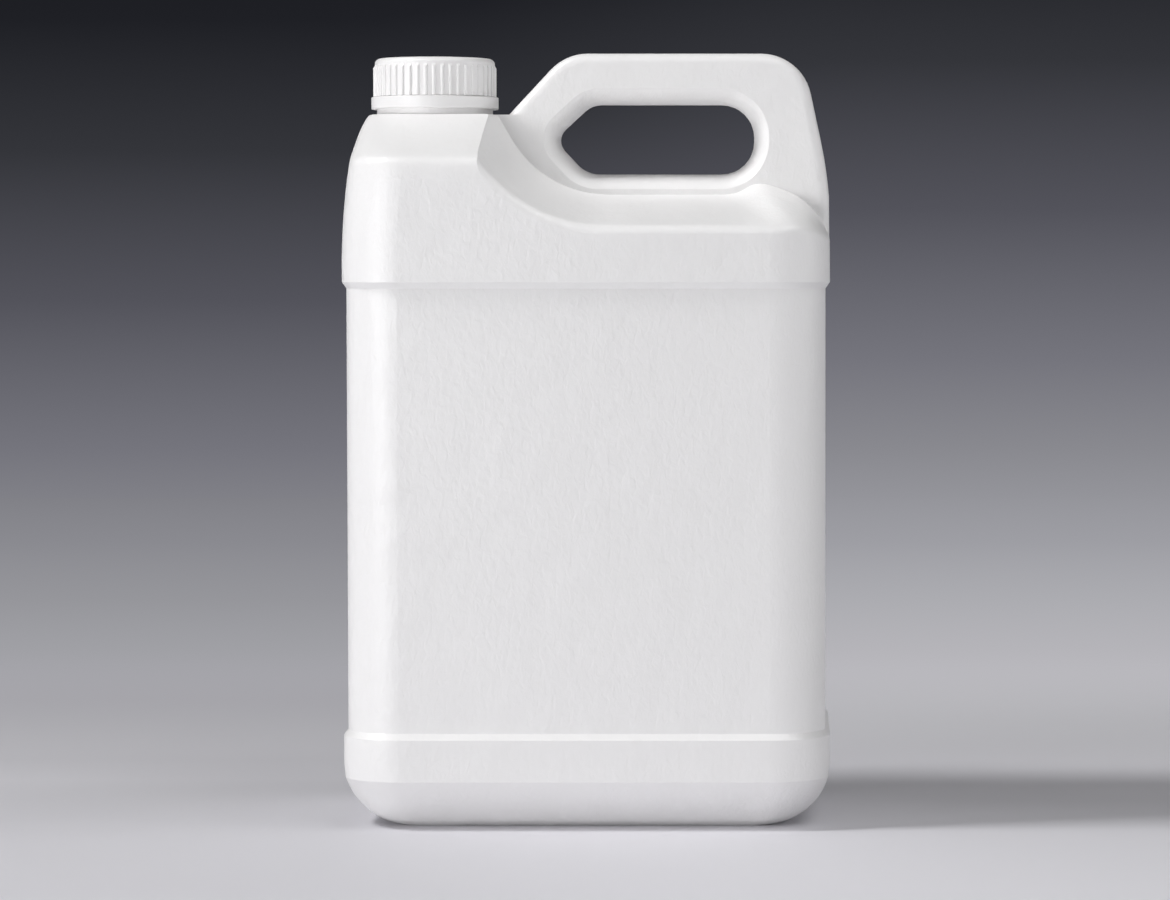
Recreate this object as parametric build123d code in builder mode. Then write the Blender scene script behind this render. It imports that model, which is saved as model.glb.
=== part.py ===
from build123d import *
import os
from math import acos, cos, degrees, hypot, radians, sin, tan

# An f-style jug: one blown bottle with a hollow handle and a hand hole, a ribbed screw cap
# with a sealing disc inside it, and the tear-off band that stays on the neck.
# Millimetres, upright, the jug's front towards -Y and its foot on z = 0.

# Blown body
WIDTH = 188.6
DEPTH = 125.0
HANDLE_TOP = 300.0
CORNER_RADIUS = 23.0
WALL = 1.3
SHOULDER_WALL = 2.0
SIDE = WIDTH / 2
FRONT = DEPTH / 2

# Base: a rounded foot with a flat facet along the front and the back, pushed up inside
FACET_TOP = 19.0
FACET_RUN = 16.0
FOOT_RADIUS = 24.0
FOOT_RING = 10.0
TOE_ROLL = 3.0
PUSH_UP = 3.0

# Shoulder: heights of the platform under the neck, the brow in front of it, the crease
# beside the handle, and the low shoulder's front edge
PLATFORM = HANDLE_TOP - 24.0
BROW = PLATFORM - 18.0
BLOCK_BASE = PLATFORM - 26.0
CREASE = HANDLE_TOP - 55.3
LOW_SHOULDER = CREASE - 12.9
EDGE_ROUND = 4.0
PLATFORM_ROUND = 2.0

# Label panel, sunk between a lower and an upper band
BAND_TOP = 35.1
PANEL_TOP = LOW_SHOULDER - 23.6
RECESS = 1.7
BEVEL = 2.4

# Neck, all on one upright axis
NECK_X = 32.8 - SIDE
FINISH_RADIUS = 20.9
BORE_RADIUS = FINISH_RADIUS - 2.3
BEAD_RADIUS = FINISH_RADIUS + 1.5
NECK_RADIUS = FINISH_RADIUS + 1.95
NECK_TOP = PLATFORM + 19.6
COLLAR_TOP = PLATFORM + 3.0
BEAD_TOP = COLLAR_TOP + 2.9
PLATFORM_HALF = NECK_RADIUS + 1.2
PLATFORM_LEFT = NECK_RADIUS + 1.9 - NECK_X

# Handle slab and the hand hole through it
HANDLE_HALF = 16.0
HANDLE_BEND = 20.0
HANDLE_RIGHT = SIDE - 26.8
STRUT_FOOT = NECK_X + NECK_RADIUS + 7.15
STRUT_ANGLE = 47.0
GRIP_FLOOR = CREASE + 8.2
GRIP_CEILING = HANDLE_TOP - 19.8
GRIP_HEIGHT = GRIP_CEILING - GRIP_FLOOR
GRIP_LEFT = STRUT_FOOT + 17.3
GRIP_RIGHT = SIDE - 29.65
GRIP_ROLL = 8.0
GRIP_TURN = 78.4

# Scoop beside the neck, along the body's front and along the handle: the ends of its level
# floor, and the height and the angle at which its sweep up to the neck ends
SCOOP_FLOOR = LOW_SHOULDER - 0.4
SCOOP_START = STRUT_FOOT + 40.3
SCOOP_END = SIDE - 20.3
SCOOP_TURN = 58.0
SCOOP_HEIGHT = BROW + 1.84 - SCOOP_FLOOR
INNER_START = STRUT_FOOT + 39.3
INNER_END = SIDE - 41.3
INNER_TURN = 60.0
INNER_HEIGHT = PLATFORM - 9.3 - CREASE

# Tear-off band, screw cap and sealing disc
CAP_INNER = FINISH_RADIUS + 1.6
CAP_OUTER = CAP_INNER + 1.15
CAP_ROUND = 2.2
TOP_THICKNESS = 1.5
LINER_THICKNESS = 1.2
SEAT_GAP = 0.06
CAP_TOP = NECK_TOP + LINER_THICKNESS + 2 * SEAT_GAP + TOP_THICKNESS
RIB_COUNT = 46
RIB_RADIUS = 0.75
RIB_REACH = 0.65
RIB_TOP = CAP_TOP - CAP_ROUND - 0.4
RIB_POINT = 1.2
BAND_OUTER = CAP_OUTER + 1.4
BAND_INNER = BAND_OUTER - 1.3
BAND_BOTTOM = COLLAR_TOP - 0.5
BAND_HEIGHT = 4.8
CAP_GAP = 0.2
CAP_BOTTOM = BAND_BOTTOM + BAND_HEIGHT + CAP_GAP


def plan(height, left, right, half_depth, radius):
    """A rounded rectangle lying flat at one height."""
    with BuildSketch(Plane.XY.offset(height)) as section:
        with Locations(((left + right) / 2, 0)):
            RectangleRounded(right - left, 2 * half_depth, radius)
    return section.sketch


def foot(turn, inset):
    """The base's outline where its rounded ends have turned up by an angle in degrees."""
    height = FOOT_RADIUS * (1 - cos(radians(turn)))
    share = height / FACET_TOP
    half_width = SIDE - FOOT_RADIUS * (1 - sin(radians(turn)))
    half_depth = FRONT - FACET_RUN * (1 - share)
    half_depth -= TOE_ROLL * max(0.0, 1 - height / TOE_ROLL) ** 2
    radius = CORNER_RADIUS - 0.72 * (SIDE - half_width)
    return plan(height + inset * (1 - share), inset - half_width, half_width - inset,
                half_depth - inset, radius - 0.6 * inset)


def girth(height, inset, sunk=0.0):
    """The body's full outline at one height, less what the label panel is sunk."""
    half_width = SIDE - inset - sunk
    return plan(height, -half_width, half_width, FRONT - inset - sunk,
                CORNER_RADIUS - inset - sunk)


def brow(share, inset):
    """The outline of the block under the neck, drawn in from its base (0) to the platform (1)."""
    height = BLOCK_BASE + share * (PLATFORM - BLOCK_BASE)
    lean = (FRONT - PLATFORM_HALF) / (PLATFORM - BROW)
    bend = [over + hypot(over, EDGE_ROUND / 2) for over in (height - BROW, BLOCK_BASE - BROW)]
    half_depth = FRONT - lean * (bend[0] - bend[1]) / 2
    left = SIDE - 2.1 + (PLATFORM_LEFT - SIDE + 2.1) * (0.65 * share + 0.35 * share**6)
    return plan(height - inset * (0.5 + 0.5 * share), inset - left,
                SIDE - 0.2 - inset, half_depth - inset,
                CORNER_RADIUS - 11.0 * share**2.2 - inset)


def strut(height, inset):
    """The outer edge of the handle's sloping front strut at one height."""
    slope = radians(STRUT_ANGLE)
    return STRUT_FOOT + (height - PLATFORM) / tan(slope) + inset / sin(slope)


def side_pocket(y, left, right, floor, height, turn, fall, grow):
    """What the mould takes away above the shoulder, seen from the front, at one depth."""
    radius = height / (1 - cos(radians(turn)))
    reach = radius + grow
    centre = Vector(left, floor + radius)
    start = centre - Vector(sin(radians(turn)), cos(radians(turn))) * reach
    middle = centre - Vector(sin(radians(turn / 2)), cos(radians(turn / 2))) * reach
    top = start + Vector(-cos(radians(turn)), sin(radians(turn))) * 22.0
    low, high = floor - grow, HANDLE_TOP + 30
    edge = [Vector(SIDE + x - 0.3 * grow, floor + z - grow) for x, z in fall]
    with BuildSketch(Plane.XZ.offset(-y)) as profile:
        with BuildLine():
            Line(top, start)
            ThreePointArc(start, middle, (left, low))
            Line((left, low), (right, low))
            Spline([Vector(right, low), *edge], tangents=[(1, 0), (0.55, -1)])
            Polyline(edge[-1], (edge[-1].X, high), (top.X, high), top)
        make_face()
    return profile.sketch


def grip_ring(y, grow):
    """The hand hole's outline at one depth, grown from its narrowest ring."""
    corners = (((GRIP_LEFT + 14.8, GRIP_CEILING), 0.35),
               ((GRIP_LEFT, (GRIP_FLOOR + GRIP_CEILING) / 2), 0.22),
               ((GRIP_LEFT + 12.7, GRIP_FLOOR), 0.44),
               ((GRIP_RIGHT, GRIP_FLOOR), 0.47), ((GRIP_RIGHT, GRIP_CEILING), 0.47))
    with BuildSketch(Plane.XZ.offset(-y)) as ring:
        with BuildLine():
            Polyline(*(point for point, _ in corners), close=True)
        make_face()
        for point, share in corners:
            fillet(ring.vertices().sort_by_distance(point)[0], share * GRIP_HEIGHT)
        if grow:
            offset(amount=grow)
    return ring.sketch


def on_handle_rim(point):
    """Whether a point on the handle's flat side lies on its outer edge."""
    return (point.Z > HANDLE_TOP - 10 or point.X > SIDE - 9 and point.Z > LOW_SHOULDER - 2
            or point.X < STRUT_FOOT + 13 and point.Z > PLATFORM + 2)


def blown_form(inset, deep, rounding):
    """The whole blown shape, drawn in from its outer skin: by the inset where it is plain, and
    by the deeper one at the handle and the shoulder, whose edges get the rounding."""
    reach = HANDLE_HALF - deep
    half_depth = FRONT - inset
    top, ledge = HANDLE_TOP - deep, PLATFORM - inset
    with BuildPart() as form:
        # Foot, lower band, sunk panel and upper band
        last = degrees(acos(1 - FACET_TOP / FOOT_RADIUS))
        loft([foot(last * step / 10, inset) for step in range(11)])
        loft([foot(last, inset), girth(FOOT_RADIUS, inset)], ruled=True)
        steps = [(FOOT_RADIUS, 0), (BAND_TOP, 0), (BAND_TOP + BEVEL, RECESS),
                 (PANEL_TOP, RECESS), (PANEL_TOP + BEVEL, 0)]
        for (low, low_sunk), (high, high_sunk) in zip(steps, steps[1:]):
            loft([girth(low, inset, low_sunk), girth(high, inset, high_sunk)], ruled=True)
        loft([girth(PANEL_TOP + BEVEL, inset),
              plan(BLOCK_BASE - 14, inset - SIDE + 0.7, SIDE - 0.1 - inset, half_depth,
                   CORNER_RADIUS - inset),
              brow(0, inset)])
        # Block under the neck: its front leans back from the brow to the platform
        loft([brow(step / 16, inset) for step in range(17)])
        # Room for the handle, then the outline seen from the front
        with BuildSketch(Plane.XY.offset(LOW_SHOULDER - 2)):
            with Locations(((STRUT_FOOT + SIDE - 3) / 2, 0)):
                Rectangle(SIDE - 3 - STRUT_FOOT - 2 * deep, 2 * (reach + 2))
        extrude(amount=80)
        with BuildSketch(Plane.XZ) as outline:
            with BuildLine():
                bend = JernArc((HANDLE_RIGHT, top), (1, 0), HANDLE_BEND - deep, -78)
                side = PolarLine(bend @ 1, 18.8, direction=bend % 1)
                shoulder = TangentArc(side @ 1, (SIDE + 0.4 - deep, LOW_SHOULDER - 5.8),
                                      tangent=side % 1)
                Polyline(shoulder @ 1, (SIDE + 15, PANEL_TOP), (SIDE + 15, -10),
                         (-SIDE - 15, -10), (-SIDE - 15, ledge), (strut(ledge, deep), ledge),
                         (strut(top, deep), top), bend @ 0)
            make_face()
            fillet(outline.vertices().sort_by_distance((strut(top, deep), top))[0],
                   HANDLE_BEND - deep)
        extrude(amount=DEPTH, both=True, mode=Mode.INTERSECT)
        # Shoulder, swept up beside the neck and falling away at the right
        pocket = loft([
            side_pocket(-FRONT - 1.5, SCOOP_START, SCOOP_END, SCOOP_FLOOR, SCOOP_HEIGHT,
                        SCOOP_TURN, [(-6.3, -2.8), (5.7, -14.4)], deep),
            side_pocket(-reach, INNER_START, INNER_END, CREASE, INNER_HEIGHT, INNER_TURN,
                        [(-28.8, 4.2), (-18.6, 2.2), (-10.1, -2.2), (-4.2, -8.4), (5.7, -27.7)],
                        deep)], ruled=True, mode=Mode.PRIVATE)
        add(pocket, mode=Mode.SUBTRACT)
        add(mirror(pocket, about=Plane.XZ, mode=Mode.PRIVATE), mode=Mode.SUBTRACT)
        # Hand hole, rolled over from its narrow middle to both sides
        rings = []
        for step in range(-5, 6):
            turn = radians(GRIP_TURN * step / 5)
            share = 1.01 * sin(turn) / sin(radians(GRIP_TURN))
            rings.append(grip_ring(share * reach, GRIP_ROLL * (1 - cos(turn)) + deep))
        add(loft(rings, mode=Mode.PRIVATE), mode=Mode.SUBTRACT)
        if not rounding:
            return form.part
        crest = form.edges().filter_by(
            lambda e: abs(abs((e @ 0.5).Y) - half_depth) < 0.1
            and LOW_SHOULDER - 4 < (e @ 0.5).Z < BLOCK_BASE and e.bounding_box().size.X > 0.5)
        rim = form.edges().filter_by(
            lambda e: abs(abs((e @ 0.5).Y) - reach) < 0.01 and on_handle_rim(e @ 0.5))
        fillet(crest + rim, rounding)
        lip = form.edges().filter_by(
            lambda e: all(abs((e @ t).Z - PLATFORM) < 0.01 for t in (0, 0.5, 1))
            and (e @ 0.5).X < STRUT_FOOT - 3)
        fillet(lip, PLATFORM_ROUND)
    return form.part


def foot_hollow(grow):
    """The shallow hollow under the base, grown for the floor above it."""
    half_width = SIDE - FOOT_RADIUS - FOOT_RING + grow
    half_depth = FRONT - FACET_RUN - TOE_ROLL - FOOT_RING + grow
    return loft([plan(-0.5, -half_width, half_width, half_depth, 8 + grow),
                 plan(PUSH_UP + grow, 5 - half_width, half_width - 5, half_depth - 5,
                      4 + grow)], mode=Mode.PRIVATE)


os.makedirs("parts", exist_ok=True)
neck_axis = Axis((NECK_X, 0, 0), (0, 0, 1))
neck_front = Plane(origin=(NECK_X, 0, 0), x_dir=(1, 0, 0), z_dir=(0, -1, 0))

# Inside of the jug: the body's room, the tunnel in the handle and the neck's bore
with BuildPart() as cavity:
    add(blown_form(WALL, SHOULDER_WALL, 0))
    add(foot_hollow(WALL), mode=Mode.SUBTRACT)
    with BuildSketch(Plane.XY.offset(PLATFORM - WALL - 2)):
        with Locations((NECK_X, 0)):
            Circle(BORE_RADIUS)
    extrude(amount=NECK_TOP - PLATFORM + 10)

# Jug: the blown skin and the neck finish, hollowed by the inside
with BuildPart() as jug_body:
    add(blown_form(0, 0, EDGE_ROUND))
    with BuildSketch(neck_front):
        with BuildLine():
            Polyline((0, PLATFORM - 6), (NECK_RADIUS, PLATFORM - 6), (NECK_RADIUS, COLLAR_TOP),
                     (FINISH_RADIUS + 0.8, COLLAR_TOP), (FINISH_RADIUS + 0.8, BEAD_TOP - 0.8),
                     (BEAD_RADIUS, BEAD_TOP - 0.5), (BEAD_RADIUS, BEAD_TOP),
                     (FINISH_RADIUS, BEAD_TOP + 1.2), (FINISH_RADIUS, NECK_TOP - 0.4),
                     (FINISH_RADIUS - 0.4, NECK_TOP), (0, NECK_TOP), close=True)
        make_face()
    revolve(axis=neck_axis)
    add(foot_hollow(0), mode=Mode.SUBTRACT)
    add(cavity.part, mode=Mode.SUBTRACT)
jug_body.part.label = "jug_body"
export_step(jug_body.part, "parts/jug_body.step")

# Tear-off band: sits on the neck's collar and is held down by the bead above it
band_top = BAND_BOTTOM + BAND_HEIGHT
with BuildPart() as tamper_ring:
    with BuildSketch(neck_front) as section:
        with BuildLine():
            Polyline((BAND_INNER, BAND_BOTTOM), (BAND_OUTER, BAND_BOTTOM),
                     (BAND_OUTER, band_top), (CAP_INNER, band_top),
                     (CAP_INNER, band_top - 0.4), (BAND_INNER, band_top - 1.0),
                     (BAND_INNER, COLLAR_TOP + 1.1), (FINISH_RADIUS + 1.0, COLLAR_TOP + 0.9),
                     (FINISH_RADIUS + 1.0, COLLAR_TOP), (BAND_INNER, COLLAR_TOP), close=True)
        make_face()
        fillet(section.vertices().sort_by_distance((BAND_OUTER, BAND_BOTTOM))[0], 0.45)
        fillet(section.vertices().sort_by_distance((BAND_OUTER, band_top))[0], 0.45)
    revolve(axis=neck_axis)
tamper_ring.part.label = "tamper_ring"
export_step(tamper_ring.part, "parts/tamper_ring.step")

# Screw cap: a skirt with grip ribs all round it
with BuildPart() as screw_cap:
    with BuildSketch(neck_front) as section:
        with BuildLine():
            Polyline((0, CAP_TOP), (CAP_OUTER, CAP_TOP), (CAP_OUTER, CAP_BOTTOM),
                     (CAP_INNER, CAP_BOTTOM), (CAP_INNER, CAP_TOP - TOP_THICKNESS),
                     (0, CAP_TOP - TOP_THICKNESS), close=True)
        make_face()
        fillet(section.vertices().sort_by_distance((CAP_OUTER, CAP_TOP))[0], CAP_ROUND)
    revolve(axis=neck_axis)
    with BuildPart(mode=Mode.PRIVATE) as ribs:
        with BuildSketch(Plane.XY.offset(CAP_BOTTOM)):
            with Locations((NECK_X, 0)):
                with PolarLocations(CAP_OUTER + RIB_REACH - RIB_RADIUS, RIB_COUNT):
                    Circle(RIB_RADIUS)
        extrude(amount=RIB_TOP - CAP_BOTTOM)
        # Each rib ends in a point that leans in to the skirt
        with BuildSketch(neck_front):
            with BuildLine():
                Polyline((0, CAP_BOTTOM), (BAND_OUTER, CAP_BOTTOM), (BAND_OUTER, CAP_BOTTOM + 1),
                         (CAP_OUTER + RIB_REACH, RIB_TOP - RIB_POINT),
                         (CAP_OUTER - RIB_REACH, RIB_TOP + RIB_POINT), (0, RIB_TOP + RIB_POINT),
                         close=True)
            make_face()
        revolve(axis=neck_axis, mode=Mode.INTERSECT)
    add(ribs.part)
screw_cap.part.label = "screw_cap"
export_step(screw_cap.part, "parts/screw_cap.step")

# Sealing disc, between the cap's underside and the neck's lip
with BuildPart() as cap_liner:
    with BuildSketch(Plane.XY.offset(NECK_TOP + SEAT_GAP)):
        with Locations((NECK_X, 0)):
            Circle(CAP_INNER - 0.3)
    extrude(amount=LINER_THICKNESS)
cap_liner.part.label = "cap_liner"
export_step(cap_liner.part, "parts/cap_liner.step")
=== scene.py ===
from math import cos, pi, radians, sin

import bpy
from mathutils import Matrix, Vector


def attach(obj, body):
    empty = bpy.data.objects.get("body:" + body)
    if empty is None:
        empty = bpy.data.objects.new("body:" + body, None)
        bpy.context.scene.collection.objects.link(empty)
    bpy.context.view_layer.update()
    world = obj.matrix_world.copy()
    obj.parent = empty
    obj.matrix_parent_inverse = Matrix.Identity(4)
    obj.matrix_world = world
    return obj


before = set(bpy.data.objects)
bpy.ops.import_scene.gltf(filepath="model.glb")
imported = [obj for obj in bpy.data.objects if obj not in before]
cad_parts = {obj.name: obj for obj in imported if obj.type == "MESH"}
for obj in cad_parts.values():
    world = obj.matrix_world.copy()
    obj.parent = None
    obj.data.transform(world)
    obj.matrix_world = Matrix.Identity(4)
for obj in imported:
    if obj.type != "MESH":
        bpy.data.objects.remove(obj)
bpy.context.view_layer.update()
MM = 0.001

# Jug
# One blown polyethylene shell: it keeps its CAD mesh and gets the skin that a blow mould leaves.
# The helpers that every later section uses come first.


def linear(code):
    """A colour written as six hex digits, in the linear values that shaders take."""
    parts = [int(code[i:i + 2], 16) / 255 for i in (0, 2, 4)]
    return tuple(p / 12.92 if p <= 0.04045 else ((p + 0.055) / 1.055) ** 2.4 for p in parts) + (1.0,)


def add(tree, kind, links=(), **values):
    """Adds a shader node, sets its properties and sockets, and links its inputs."""
    node = tree.nodes.new(kind)
    for key, value in values.items():
        if hasattr(node, key):
            setattr(node, key, value)
        else:
            node.inputs[key.replace("_", " ")].default_value = value
    for socket, source in links:
        tree.links.new(source, node.inputs[socket])
    return node


def new_material(name):
    """An empty material with its surface shader, and the Object coordinates its patterns use."""
    material = bpy.data.materials.new(name)
    material.use_nodes = True
    tree = material.node_tree
    tree.nodes.clear()
    output = tree.nodes.new("ShaderNodeOutputMaterial")
    surface = tree.nodes.new("ShaderNodeBsdfPrincipled")
    tree.links.new(surface.outputs[0], output.inputs["Surface"])
    coordinates = tree.nodes.new("ShaderNodeTexCoord")
    return material, tree, surface, coordinates.outputs["Object"]


def dress(obj, material):
    """Gives an object one material."""
    obj.data.materials.clear()
    obj.data.materials.append(material)


def blown_polyethylene():
    """White high-density polyethylene as it leaves a blow mould: satin, with a leathery skin,
    a slow unevenness of the wall and the faint raised line where the mould halves met."""
    material, tree, surface, place = new_material("blown_white_polyethylene")
    surface.inputs["Base Color"].default_value = linear("F5F4F4")
    surface.inputs["Subsurface Weight"].default_value = 0.08
    surface.inputs["Subsurface Radius"].default_value = (1.0, 1.0, 1.0)
    surface.inputs["Subsurface Scale"].default_value = 1.5 * MM
    cloud = add(tree, "ShaderNodeTexNoise", [("Vector", place)], Scale=45.0, Detail=2.0)
    tone = add(tree, "ShaderNodeMapRange", [("Value", cloud.outputs["Fac"])], To_Min=0.30, To_Max=0.42)
    tree.links.new(tone.outputs[0], surface.inputs["Roughness"])
    # Wrinkles of one to three millimetres, a little longer upwards, over waves of a centimetre
    upright = add(tree, "ShaderNodeMapping", [("Vector", place)], Scale=(1.0, 1.0, 0.55))
    skin = add(tree, "ShaderNodeTexNoise", [("Vector", upright.outputs[0])], Scale=430.0, Detail=3.0,
               Roughness=0.5, Distortion=0.7)
    wave = add(tree, "ShaderNodeTexNoise", [("Vector", place)], Scale=85.0, Detail=2.0)
    # The parting line lies in the plane between the mould halves, where Y is nought
    split = add(tree, "ShaderNodeSeparateXYZ", [("Vector", place)])
    off = add(tree, "ShaderNodeMath", [(0, split.outputs["Y"])], operation="ABSOLUTE")
    seam = add(tree, "ShaderNodeMapRange", [("Value", off.outputs[0])], interpolation_type="SMOOTHSTEP",
               From_Min=0.15 * MM, From_Max=0.45 * MM, To_Min=1.0, To_Max=0.0)
    fine = add(tree, "ShaderNodeBump", [("Height", skin.outputs["Fac"])], Distance=0.19 * MM)
    slow = add(tree, "ShaderNodeBump", [("Height", wave.outputs["Fac"]), ("Normal", fine.outputs[0])],
               Distance=0.40 * MM)
    line = add(tree, "ShaderNodeBump", [("Height", seam.outputs[0]), ("Normal", slow.outputs[0])],
               Distance=0.12 * MM)
    tree.links.new(line.outputs[0], surface.inputs["Normal"])
    return material


BODY_SKIN = blown_polyethylene()
dress(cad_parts["jug_body"], BODY_SKIN)

# Neck thread
# The ridge that the cap screws onto, hidden while the cap is on: a turn and a half of 4.2 mm pitch.

NECK_X = -61.5 * MM
PITCH = 4.2 * MM
THREAD_WIDTH = 2.0 * MM
CREST_SHARE = 0.4
THREAD_RINGS = 64
RUN_OUT = (0.8, 0.6, 0.4, 0.2)


def edit(obj):
    """Opens one object in edit mode with nothing else selected."""
    bpy.ops.object.mode_set(mode="OBJECT")
    bpy.ops.object.select_all(action="DESELECT")
    obj.select_set(True)
    bpy.context.view_layer.objects.active = obj
    bpy.ops.object.mode_set(mode="EDIT")
    bpy.ops.mesh.select_all(action="SELECT")


def pick(obj, mode, chosen):
    """Selects the faces or vertices that a test accepts, by their middle in the object's frame."""
    bpy.ops.mesh.select_mode(type=mode)
    bpy.ops.mesh.select_all(action="DESELECT")
    bpy.ops.object.mode_set(mode="OBJECT")
    items = obj.data.polygons if mode == "FACE" else obj.data.vertices
    for item in items:
        item.select = chosen(item.center if mode == "FACE" else item.co)
    bpy.ops.object.mode_set(mode="EDIT")


def settle(obj, body, material):
    """Turns a finished piece's faces out, puts its origin at the world's and hands it to its body."""
    edit(obj)
    bpy.ops.mesh.normals_make_consistent(inside=False)
    bpy.ops.object.mode_set(mode="OBJECT")
    bpy.ops.object.transform_apply(location=True, rotation=True, scale=True)
    bpy.ops.object.shade_smooth_by_angle(angle=radians(35))
    dress(obj, material)
    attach(obj, body)


def thread(name, root, crest, low, turns):
    """A screw thread: an upright section, wide at its root and narrow at its crest, swept round
    the neck's axis. Its first and last rings sink into the wall by shares of the thread's depth."""
    bpy.ops.object.select_all(action="DESELECT")
    bpy.ops.mesh.primitive_plane_add(size=1.0, rotation=(pi / 2, 0, 0))
    obj = bpy.context.object
    obj.name = name
    bpy.ops.object.transform_apply(location=False, rotation=True, scale=False)
    edit(obj)
    middle = (root + crest) / 2
    bpy.ops.transform.resize(value=(abs(crest - root), 1.0, THREAD_WIDTH))
    bpy.ops.transform.translate(value=(middle, 0, low))
    pick(obj, "VERT", lambda co: (co.x > middle) == (crest > root))
    bpy.ops.transform.resize(value=(1.0, 1.0, CREST_SHARE), center_override=(crest, 0, low))
    bpy.ops.mesh.select_all(action="SELECT")
    bpy.ops.mesh.delete(type="ONLY_FACE")
    bpy.ops.object.mode_set(mode="OBJECT")
    obj.location.x = NECK_X
    last = round(turns * THREAD_RINGS)
    sweep = obj.modifiers.new("sweep", "SCREW")
    sweep.angle = turns * 2 * pi
    sweep.screw_offset = turns * PITCH
    sweep.steps = sweep.render_steps = last
    bpy.ops.object.modifier_apply(modifier="sweep")
    edit(obj)
    for end, inwards in ((0, 1), (last, -1)):
        for step, share in enumerate(RUN_OUT):
            ring = end + inwards * step
            turn = ring / THREAD_RINGS * 2 * pi
            height = low + ring / THREAD_RINGS * PITCH
            ray = Vector((cos(turn), sin(turn), 0))
            pick(obj, "VERT", lambda co: abs(co.z - height) < 0.55 * THREAD_WIDTH
                 and (Vector((co.x, co.y, 0)).normalized() - ray).length < 0.5 / THREAD_RINGS)
            if step == 0:
                bpy.ops.mesh.edge_face_add()
            bpy.ops.transform.translate(value=ray * (root - crest) * share)
    bpy.ops.object.mode_set(mode="OBJECT")
    return obj


neck_thread = thread("neck_thread", root=20.8 * MM, crest=21.9 * MM, low=287.0 * MM, turns=1.5)
settle(neck_thread, "jug", BODY_SKIN)

# Pinch-off seam
# The raised line where the mould closed the parison, under the base and clear of the ground. It
# narrows downwards and runs out at both ends.

SEAM_LENGTH = 104 * MM
SEAM_WIDTH = 1.6 * MM
SEAM_FOOT = 2.3 * MM
SEAM_ROOT = 3.1 * MM
bpy.ops.object.select_all(action="DESELECT")
bpy.ops.mesh.primitive_cube_add(size=1.0, location=(0, 0, (SEAM_FOOT + SEAM_ROOT) / 2),
                                scale=(SEAM_LENGTH, SEAM_WIDTH, SEAM_ROOT - SEAM_FOOT))
seam = bpy.context.object
seam.name = "pinch_off_seam"
bpy.ops.object.transform_apply(location=True, rotation=True, scale=True)
edit(seam)
pick(seam, "FACE", lambda co: co.z < SEAM_FOOT + 0.1 * MM)
bpy.ops.transform.resize(value=(0.97, 0.45, 1.0), center_override=(0, 0, SEAM_FOOT))
bpy.ops.mesh.select_all(action="SELECT")
bpy.ops.mesh.subdivide(number_cuts=5)
pick(seam, "VERT", lambda co: abs(co.x) > 0.42 * SEAM_LENGTH)
bpy.ops.transform.resize(value=(1.0, 1.0, 0.7), center_override=(0, 0, SEAM_ROOT))
settle(seam, "jug", BODY_SKIN)

# Tear-off band
# Moulded polypropylene: it keeps its CAD mesh and gets the same finish as the cap.


def moulded_polypropylene():
    """White polypropylene of the cap and its band: a fine, even satin with hardly any grain."""
    material, tree, surface, place = new_material("moulded_white_polypropylene")
    surface.inputs["Base Color"].default_value = linear("F4F3F3")
    surface.inputs["Subsurface Weight"].default_value = 0.05
    surface.inputs["Subsurface Radius"].default_value = (1.0, 1.0, 1.0)
    surface.inputs["Subsurface Scale"].default_value = 1.0 * MM
    cloud = add(tree, "ShaderNodeTexNoise", [("Vector", place)], Scale=300.0, Detail=2.0)
    tone = add(tree, "ShaderNodeMapRange", [("Value", cloud.outputs["Fac"])], To_Min=0.32, To_Max=0.40)
    tree.links.new(tone.outputs[0], surface.inputs["Roughness"])
    grain = add(tree, "ShaderNodeTexNoise", [("Vector", place)], Scale=1500.0, Detail=2.0)
    bump = add(tree, "ShaderNodeBump", [("Height", grain.outputs["Fac"])], Distance=0.004 * MM)
    tree.links.new(bump.outputs[0], surface.inputs["Normal"])
    return material


CAP_SKIN = moulded_polypropylene()
dress(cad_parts["tamper_ring"], CAP_SKIN)

# Bridges
# Thin stubs moulded across the slit between the band and the cap, which break at the first opening
# and stay on the band. One is modelled and copied round the neck.

BRIDGES = 12
BRIDGE_RADIUS = 23.2 * MM
SLIT_MIDDLE = 283.37 * MM
BRIDGE_HEIGHT = 0.2 * MM
bpy.ops.object.select_all(action="DESELECT")
bpy.ops.mesh.primitive_cube_add(size=1.0, location=(BRIDGE_RADIUS, 0, SLIT_MIDDLE),
                                scale=(0.7 * MM, 1.1 * MM, BRIDGE_HEIGHT))
bridge = bpy.context.object
bridge.name = "bridge_01"
bpy.ops.object.transform_apply(location=True, rotation=True, scale=True)
edit(bridge)
pick(bridge, "FACE", lambda co: co.z > SLIT_MIDDLE + 0.4 * BRIDGE_HEIGHT)
bpy.ops.transform.resize(value=(0.7, 0.6, 1.0),
                         center_override=(BRIDGE_RADIUS, 0, SLIT_MIDDLE + BRIDGE_HEIGHT / 2))
bpy.ops.object.mode_set(mode="OBJECT")
bridges = [bridge]
for number in range(2, BRIDGES + 1):
    copy = bpy.data.objects.new(f"bridge_{number:02d}", bridge.data.copy())
    bpy.context.scene.collection.objects.link(copy)
    copy.rotation_euler.z = (number - 1) * 2 * pi / BRIDGES
    bridges.append(copy)
for piece in bridges:
    piece.location.x = NECK_X
    settle(piece, "jug", CAP_SKIN)

# Screw cap
# It keeps its CAD mesh with all the grip ribs, and gets the polypropylene.

dress(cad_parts["screw_cap"], CAP_SKIN)

# Cap thread
# The ridge inside the skirt, half a pitch above the neck's, so that it climbs between its turns.

cap_thread = thread("cap_thread", root=22.6 * MM, crest=21.45 * MM, low=289.1 * MM, turns=1.25)
settle(cap_thread, "cap", CAP_SKIN)

# Sealing disc
# Pressed polyethylene foam under the cap's top: it keeps its CAD mesh.


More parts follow.
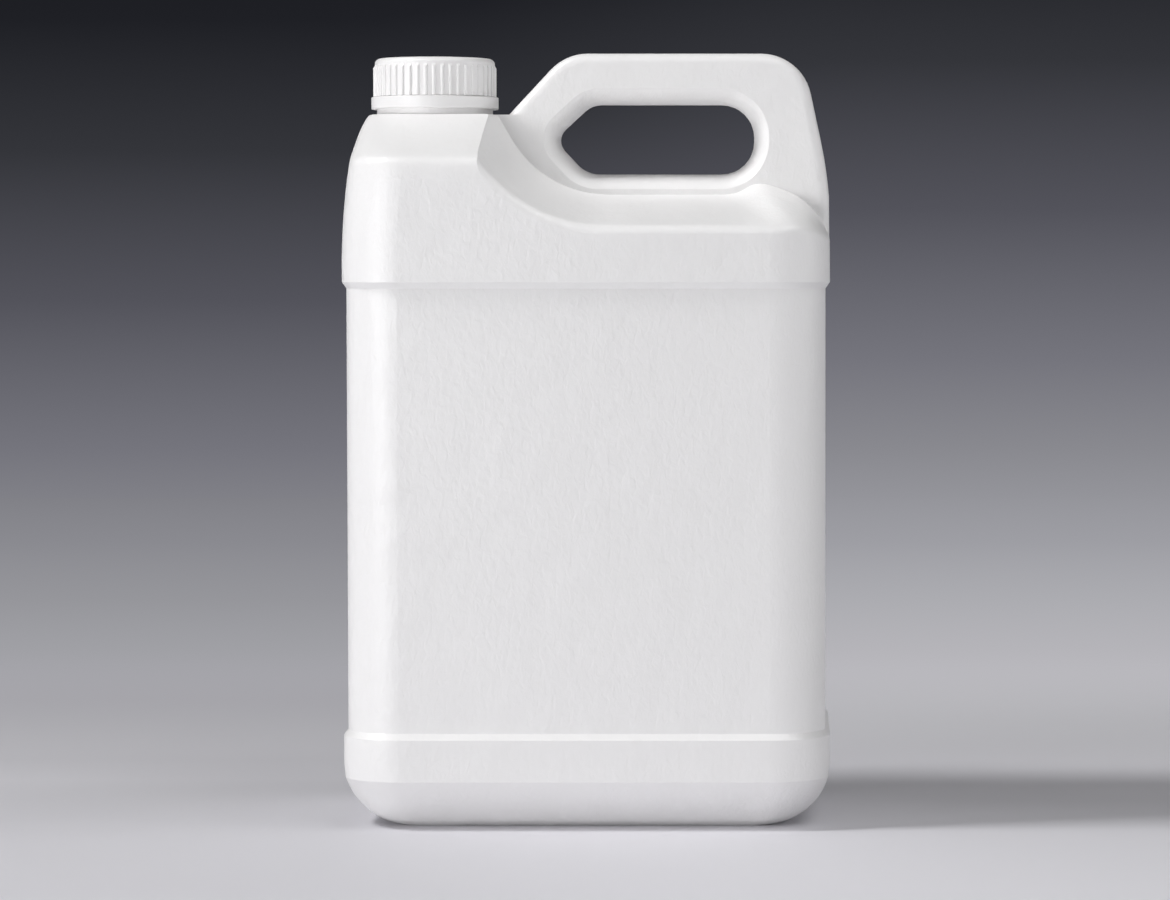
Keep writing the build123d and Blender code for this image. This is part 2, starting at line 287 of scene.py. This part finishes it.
def foam_disc():
    """Pressed polyethylene foam of the sealing disc: matt, with closed cells."""
    material, tree, surface, place = new_material("pressed_white_foam")
    surface.inputs["Base Color"].default_value = linear("E6E6E2")
    surface.inputs["Roughness"].default_value = 0.7
    cells = add(tree, "ShaderNodeTexVoronoi", [("Vector", place)], Scale=1800.0)
    bump = add(tree, "ShaderNodeBump", [("Height", cells.outputs["Distance"])], Distance=0.08 * MM)
    tree.links.new(bump.outputs[0], surface.inputs["Normal"])
    return material


dress(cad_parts["cap_liner"], foam_disc())

# Floor and backdrop
# A pale floor runs back to a wall with painted shading that darkens upwards. What lies behind the object
# glows for the camera with a painted graded tone, lighter on the right, so that floor and wall run into
# each other.

WALL_Y = 2.2
STAGE_WIDTH = 8
FLOOR_LENGTH = 6
WALL_HEIGHT = 3


def plane(name, centre, size, turn):
    """A flat stage piece of a size in metres."""
    bpy.ops.object.select_all(action="DESELECT")
    bpy.ops.mesh.primitive_plane_add(size=1.0, location=centre, rotation=turn)
    obj = bpy.context.object
    obj.name = name
    obj.scale = (size[0], size[1], 1.0)
    bpy.ops.object.transform_apply(location=True, rotation=True, scale=True)
    return obj


def across(tree, value, low, high, **values):
    """A value mapped from the span low to high onto 0 to 1."""
    node = add(tree, "ShaderNodeMapRange", [("Value", value)], From_Min=low, From_Max=high, **values)
    return node.outputs[0]


def ramp(tree, value, stops):
    """A colour that changes with a value: each stop is a place and six hex digits."""
    low, high = stops[0][0], stops[-1][0]
    node = add(tree, "ShaderNodeValToRGB", [("Fac", across(tree, value, low, high))])
    elements = node.color_ramp.elements
    while len(elements) < len(stops):
        elements.new(0.5)
    for element, (position, code) in zip(elements, stops):
        element.position = (position - low) / (high - low)
        element.color = linear(code)
    return node.outputs[0]


def shown(tree, surface, tone, share=None):
    """Lets camera and mirror rays see a tone instead of the lit surface, by a share if given."""
    rays = tree.nodes.new("ShaderNodeLightPath").outputs
    seen = add(tree, "ShaderNodeMath", [(0, rays["Is Camera Ray"]), (1, rays["Is Glossy Ray"])],
               operation="MAXIMUM").outputs[0]
    if share:
        seen = add(tree, "ShaderNodeMath", [(0, seen), (1, share)], operation="MULTIPLY").outputs[0]
    glow = add(tree, "ShaderNodeEmission", [("Color", tone)])
    mix = add(tree, "ShaderNodeMixShader", [(0, seen), (1, surface.outputs[0]), (2, glow.outputs[0])])
    output = next(n for n in tree.nodes if n.type == "OUTPUT_MATERIAL")
    tree.links.new(mix.outputs[0], output.inputs["Surface"])


def backdrop_paper():
    """Backdrop paper that glows for camera and mirror rays with painted shading, dark at the top. Its
    grading sinks a little towards the left.
    """
    material, tree, surface, place = new_material("backdrop_paper_painted_shading")
    surface.inputs["Base Color"].default_value = linear("808084")
    surface.inputs["Roughness"].default_value = 0.9
    split = add(tree, "ShaderNodeSeparateXYZ", [("Vector", place)])
    side = across(tree, split.outputs["X"], -0.353, 0.145, interpolation_type="SMOOTHSTEP",
                  To_Max=-0.083)
    height = add(tree, "ShaderNodeMath", [(0, split.outputs["Z"]), (1, side)], operation="ADD")
    # Painted shading: the glow darkens upwards and sits lower on the left, so the right is lighter
    shown(tree, surface, ramp(tree, height.outputs[0], [
        (-0.129, "9F9FA5"), (-0.036, "89898F"), (0.045, "75757D"), (0.183, "53535B"),
        (0.320, "34353A"), (0.440, "1F2025"), (0.670, "0D0E11")]))
    return material


def floor_paper():
    """Pale matt floor paper, with painted light and shade graded into its tone."""
    material, tree, surface, place = new_material("pale_floor_paper_painted_light")
    surface.inputs["Roughness"].default_value = 0.8
    surface.inputs["Specular IOR Level"].default_value = 0.1
    split = add(tree, "ShaderNodeSeparateXYZ", [("Vector", place)])
    right = across(tree, split.outputs["X"], -0.12, 0.11, interpolation_type="SMOOTHSTEP")
    depth = split.outputs["Y"]
    # The part near the object takes the light. Its tone is painted light and shade: a little darker
    # where the lamps are nearer, lighter at the back right where the object shades the front lamps, and
    # darker in the shadow just right of it
    near_left = ramp(tree, depth, [
        (-0.5, "EEEEF2"), (-0.21, "DEDDE2"), (-0.06, "D9D8DD"), (0.03, "DEDDE2"), (0.10, "E3E2E7"),
        (0.17, "D8D7DC"), (0.42, "CCCBD0")])
    near_right = ramp(tree, depth, [
        (-0.5, "F2F2F6"), (-0.21, "EBEAEF"), (-0.08, "E3E2E7"), (0.03, "D4D3D8"), (0.17, "E1E0E5"),
        (0.42, "E7E7EB")])
    near = add(tree, "ShaderNodeMixRGB", [("Fac", right), ("Color1", near_left), ("Color2", near_right)])
    tree.links.new(near.outputs[0], surface.inputs["Base Color"])
    # The part behind it glows for camera and mirror rays with a painted tone, painted shading that
    # darkens backwards and is lighter on the right, down to that of the wall's foot
    far_left = ramp(tree, depth, [
        (0.17, "B4B4BA"), (0.42, "AAA9AF"), (0.70, "A0A0A5"), (1.04, "96969B"), (1.6, "8A8A90"),
        (WALL_Y, "818187")])
    far_right = ramp(tree, depth, [
        (0.17, "C3C2C7"), (0.42, "BEBDC2"), (0.70, "B5B4B9"), (1.04, "ACACB1"), (1.6, "9E9EA4"),
        (WALL_Y, "95959B")])
    far = add(tree, "ShaderNodeMixRGB", [("Fac", right), ("Color1", far_left), ("Color2", far_right)])
    shown(tree, surface, far.outputs[0],
          across(tree, depth, 0.2, 0.6, interpolation_type="SMOOTHSTEP"))
    return material


floor = plane("floor", (0, WALL_Y - FLOOR_LENGTH / 2, 0), (STAGE_WIDTH, FLOOR_LENGTH), (0, 0, 0))
dress(floor, floor_paper())
backdrop = plane("backdrop", (0, WALL_Y, WALL_HEIGHT / 2), (STAGE_WIDTH, WALL_HEIGHT), (pi / 2, 0, 0))
dress(backdrop, backdrop_paper())

# Lights
# A small lamp high on the left makes the bright side and the long soft shadow. Two from the front
# left light the front, and one overhead and one on the right fill the handle and the right edge.


def softbox(name, place, aim, size, power):
    """A soft rectangular lamp turned towards a point, which doesn't show itself in the picture."""
    data = bpy.data.lights.new(name, "AREA")
    data.shape = "RECTANGLE"
    data.size, data.size_y = size
    data.energy = power
    lamp = bpy.data.objects.new(name, data)
    bpy.context.scene.collection.objects.link(lamp)
    lamp.location = place
    lamp.visible_camera = False
    lamp.rotation_euler = (Vector(aim) - Vector(place)).to_track_quat("-Z", "Y").to_euler()


softbox("left", (-1.05, -0.25, 1.58), (0, 0, 0.12), (0.35, 0.35), 16.8)
softbox("front_left", (-1.3, -1.15, 0.45), (0, 0, 0.14), (0.7, 0.6), 3.8)
softbox("low_front", (-1.0, -1.5, 0.14), (0, 0, 0.14), (1.3, 0.2), 10.9)
softbox("overhead", (0.7, -0.5, 1.5), (0, 0, 0.2), (1.2, 0.8), 7.4)
softbox("right", (1.45, -0.3, 0.55), (0, 0, 0.14), (0.7, 0.9), 4.4)

world = bpy.data.worlds.new("room")
bpy.context.scene.world = world
world.use_nodes = True
world.node_tree.nodes["Background"].inputs["Color"].default_value = linear("D8D8DA")
world.node_tree.nodes["Background"].inputs["Strength"].default_value = 0.02

# Camera
# Level with the upper part of the jug and to the right of its middle, so that the front stays square.

FOCAL_PIXELS = 4193.0
IMAGE_WIDTH = 1170.0
camera_data = bpy.data.cameras.new("camera")
camera_data.sensor_width = 36.0
camera_data.lens = 36.0 * FOCAL_PIXELS / IMAGE_WIDTH
camera_data.shift_x = -0.1777
camera_data.clip_end = 50.0
camera = bpy.data.objects.new("camera", camera_data)
bpy.context.scene.collection.objects.link(camera)
camera.location = (0.080, -1.6625, 0.2187)
camera.rotation_euler = (radians(90 - 2.58), 0, 0)
bpy.context.scene.camera = camera

bpy.context.scene.view_settings.view_transform = "Standard"
